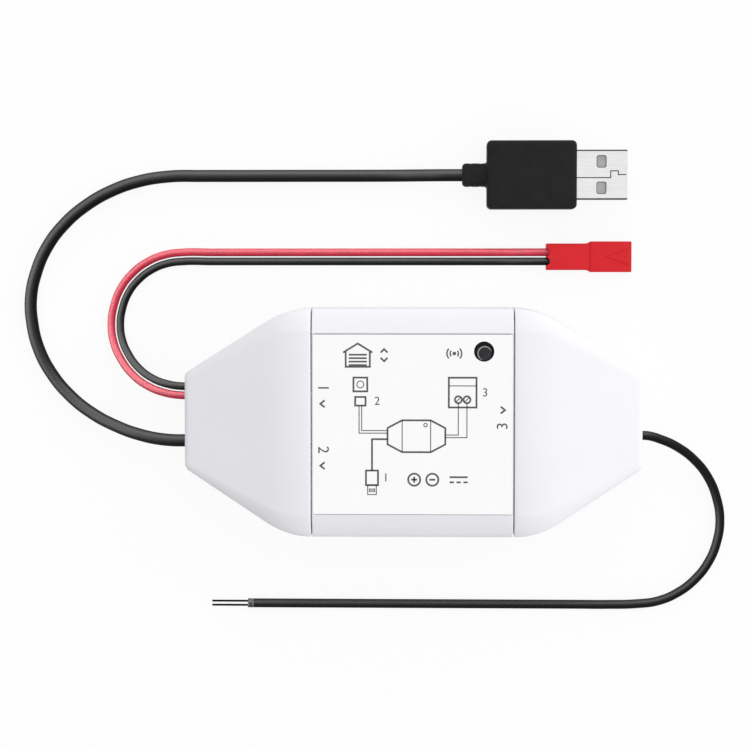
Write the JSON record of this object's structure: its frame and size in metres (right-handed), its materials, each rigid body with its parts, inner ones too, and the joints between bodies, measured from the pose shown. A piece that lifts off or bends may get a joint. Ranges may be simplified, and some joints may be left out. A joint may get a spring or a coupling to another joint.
{
  "type": "garage door controller",
  "caption": "White box in a centre sleeve and tapered end caps, with a pairing button, a USB power cord, a sensor lead and a control lead; its relay switches a garage door opener.",
  "frame": {"origin": "under the middle of the case, on the plane of its flat back", "axes": "+X along the case, from the end with the power cord to the end with the control lead; +Y across it; +Z out of the printed face"},
  "size_m": [0.1703, 0.1135, 0.026],
  "materials": {
    "case_white": "fine satin",
    "label_film": "printed film",
    "button_grey": "satin",
    "black_plastic": "matt",
    "ivory_plastic": "satin",
    "grey_plastic": "satin",
    "clear_plastic": "clear",
    "relay_blue": "gloss",
    "board_green": "solder mask",
    "board_blue": "solder mask",
    "tinned_steel": "tinned",
    "soft_iron": "plated",
    "contact_brass": "plated",
    "copper_wire": "enamelled",
    "capacitor_can": "sleeved",
    "chip_brown": "matt",
    "black_pvc": "satin",
    "red_pvc": "satin",
    "red_plastic": "gloss"
  },
  "bodies": {
    "case": {"centre_sleeve": "case_white", "left_cap": "case_white", "right_cap": "case_white", "face_label": "label_film", "switch_body": "black_plastic", "switch_frame": "tinned_steel", "switch_dome": "contact_brass", "light_pipe": "clear_plastic", "status_lamp": "ivory_plastic", "main_board": "board_green", "radio_board": "board_blue", "radio_shield": "tinned_steel", "relay_base": "black_plastic", "relay_cover": "relay_blue", "relay_yoke": "soft_iron", "relay_core": "soft_iron", "relay_bobbin": "ivory_plastic", "relay_winding": "copper_wire", "relay_contact": "contact_brass", "relay_pins": "tinned_steel", "reservoir_capacitor": "capacitor_can", "regulator": "black_plastic", "chip_parts": "chip_brown", "power_header": "ivory_plastic", "power_header_pins": "contact_brass", "power_inner_plug": "ivory_plastic", "power_leads": "red_pvc", "sensor_header": "ivory_plastic", "sensor_header_pins": "contact_brass", "sensor_inner_plug": "ivory_plastic", "sensor_leads": "red_pvc", "control_header": "ivory_plastic", "control_header_pins": "contact_brass", "control_inner_plug": "ivory_plastic", "control_leads": "black_pvc", "power_collar": "black_pvc", "sensor_collar": "black_pvc", "control_collar": "black_pvc", "power_cord": "black_pvc", "plug_overmould": "black_pvc", "plug_shell": "tinned_steel", "plug_tongue": "grey_plastic", "plug_contacts": "contact_brass", "sensor_wire_red": "red_pvc", "sensor_wire_black": "black_pvc", "sensor_connector": "red_plastic", "sensor_terminals": "contact_brass", "control_cord": "black_pvc", "control_cores": "black_pvc"},
    "button": {"pairing_button": "button_grey", "switch_plunger": "black_plastic"},
    "armature": {"relay_armature": "soft_iron"}
  },
  "joints": [
    {"name": "button_press", "type": "slide", "parent": "case", "child": "button", "axis": [0, 0, -1], "range_m": [0, 0.00025], "stiffness_N_per_m": 4000, "deforming": ["switch_dome"]},
    {"name": "armature_tip", "type": "hinge", "parent": "case", "child": "armature", "pos_m": [0.0043, -0.009, 0.0198], "axis": [0, 1, 0], "range_deg": [0, 4.8], "stiffness_Nm_per_rad": 0.02}
  ]
}
